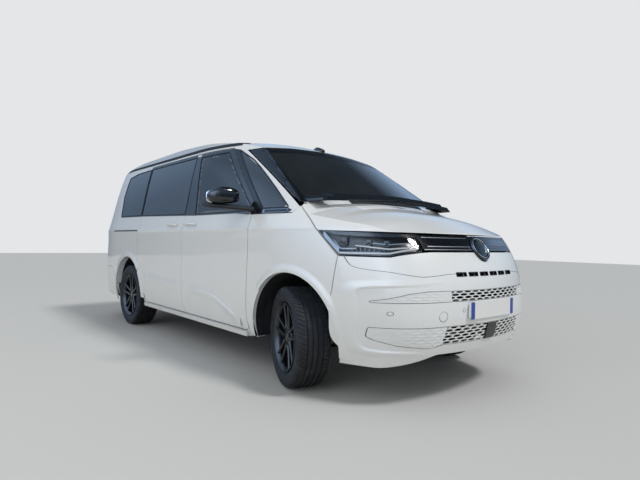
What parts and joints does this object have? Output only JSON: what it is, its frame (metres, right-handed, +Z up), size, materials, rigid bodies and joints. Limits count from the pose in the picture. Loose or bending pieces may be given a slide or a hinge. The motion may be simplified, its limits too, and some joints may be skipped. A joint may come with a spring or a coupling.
{
  "type": "camper van",
  "caption": "Compact camper van with a pop-up roof: hinged front doors, bonnet, tailgate and roof, steered front wheels, furnished cabin.",
  "frame": {"origin": "on the ground, under the middle of the van's box", "axes": "+X to the nose, +Y to the van's own left, +Z up"},
  "size_m": [5.1838, 2.39, 2.0035],
  "materials": {
    "paint_white": "gloss",
    "bumper_white": "gloss",
    "roof_shell": "satin",
    "dark_glass": "gloss",
    "clear_glass": "gloss",
    "lamp_lens": "gloss",
    "red_lens": "gloss",
    "black_plastic": "matte",
    "gloss_black": "gloss",
    "floor_steel": "satin",
    "dark_trim": "matte",
    "seat_fabric": "woven",
    "cabinet": "satin",
    "engine_metal": "rough",
    "chassis_steel": "satin",
    "tank_plastic": "matte",
    "exhaust_steel": "brushed",
    "canvas": "woven",
    "cast_steel": "rough",
    "tyre": "matte",
    "rim_black": "gloss"
  },
  "bodies": {
    "body": {"side_frame_right": "paint_white", "side_frame_left": "paint_white", "sliding_doors": "paint_white", "wings": "paint_white", "front_bumper": "bumper_white", "rear_bumper": "bumper_white", "roof_frame": "paint_white", "side_glass": "dark_glass", "windscreen": "clear_glass", "head_lamps": "lamp_lens", "tail_lamps": "red_lens", "front_grille": "black_plastic", "cowl": "black_plastic", "floor_pan": "floor_steel", "dashboard": "dark_trim", "steering_wheel": "dark_trim", "front_seats": "seat_fabric", "rear_seats": "seat_fabric", "kitchen_unit": "cabinet", "engine_block": "engine_metal", "front_subframe": "chassis_steel", "rear_suspension": "chassis_steel", "fuel_tank": "tank_plastic", "exhaust": "exhaust_steel", "roof_canvas": "canvas"},
    "bonnet": {"bonnet": "paint_white"},
    "front_door_right": {"front_door_right": "paint_white", "door_glass_right": "clear_glass", "mirror_right": "gloss_black"},
    "front_door_left": {"front_door_left": "paint_white", "door_glass_left": "clear_glass", "mirror_left": "gloss_black"},
    "tailgate": {"tailgate": "paint_white", "tailgate_glass": "dark_glass"},
    "pop_roof": {"pop_roof": "roof_shell"},
    "knuckle_right": {"knuckle_right": "cast_steel"},
    "knuckle_left": {"knuckle_left": "cast_steel"},
    "wheel_front_right": {"tyre_front_right": "tyre", "rim_front_right": "rim_black"},
    "wheel_front_left": {"tyre_front_left": "tyre", "rim_front_left": "rim_black"},
    "wheel_rear_right": {"tyre_rear_right": "tyre", "rim_rear_right": "rim_black"},
    "wheel_rear_left": {"tyre_rear_left": "tyre", "rim_rear_left": "rim_black"}
  },
  "joints": [
    {"name": "steer_left", "type": "hinge", "parent": "body", "child": "knuckle_left", "pos_m": [1.611, 0.76, 0.346], "axis": [0, 0, 1], "range_deg": [-16, 54]},
    {"name": "steer_right", "type": "hinge", "parent": "body", "child": "knuckle_right", "pos_m": [1.611, -0.76, 0.346], "axis": [0, 0, 1], "range_deg": [-16, 54]},
    {"name": "spin_front_left", "type": "hinge", "parent": "knuckle_left", "child": "wheel_front_left", "pos_m": [1.63379, 0.82619, 0.346], "axis": [0.3256, 0.9455, 0], "continuous": true},
    {"name": "spin_front_right", "type": "hinge", "parent": "knuckle_right", "child": "wheel_front_right", "pos_m": [1.58821, -0.82619, 0.346], "axis": [0.3256, 0.9455, 0], "continuous": true},
    {"name": "spin_rear_left", "type": "hinge", "parent": "body", "child": "wheel_rear_left", "pos_m": [-1.513, 0.83, 0.346], "axis": [0, 1, 0], "continuous": true},
    {"name": "spin_rear_right", "type": "hinge", "parent": "body", "child": "wheel_rear_right", "pos_m": [-1.513, -0.83, 0.346], "axis": [0, 1, 0], "continuous": true},
    {"name": "door_right_hinge", "type": "hinge", "parent": "body", "child": "front_door_right", "pos_m": [1.057, -0.955, 0.765], "axis": [0, 0, 1], "range_deg": [0, 65]},
    {"name": "door_left_hinge", "type": "hinge", "parent": "body", "child": "front_door_left", "pos_m": [1.057, 0.955, 0.765], "axis": [0, 0, -1], "range_deg": [0, 65]},
    {"name": "bonnet_hinge", "type": "hinge", "parent": "body", "child": "bonnet", "pos_m": [1.608, 0, 1.263], "axis": [0, -1, 0], "range_deg": [0, 50]},
    {"name": "tailgate_hinge", "type": "hinge", "parent": "body", "child": "tailgate", "pos_m": [-2.25, 0, 1.902], "axis": [0, 1, 0], "range_deg": [0, 85]},
    {"name": "pop_roof_hinge", "type": "hinge", "parent": "body", "child": "pop_roof", "pos_m": [-2.105, 0, 1.92], "axis": [0, -1, 0], "range_deg": [0, 18]}
  ],
  "couplings": [
    {"joint": "steer_right", "follows": "steer_left", "ratio": 1}
  ]
}
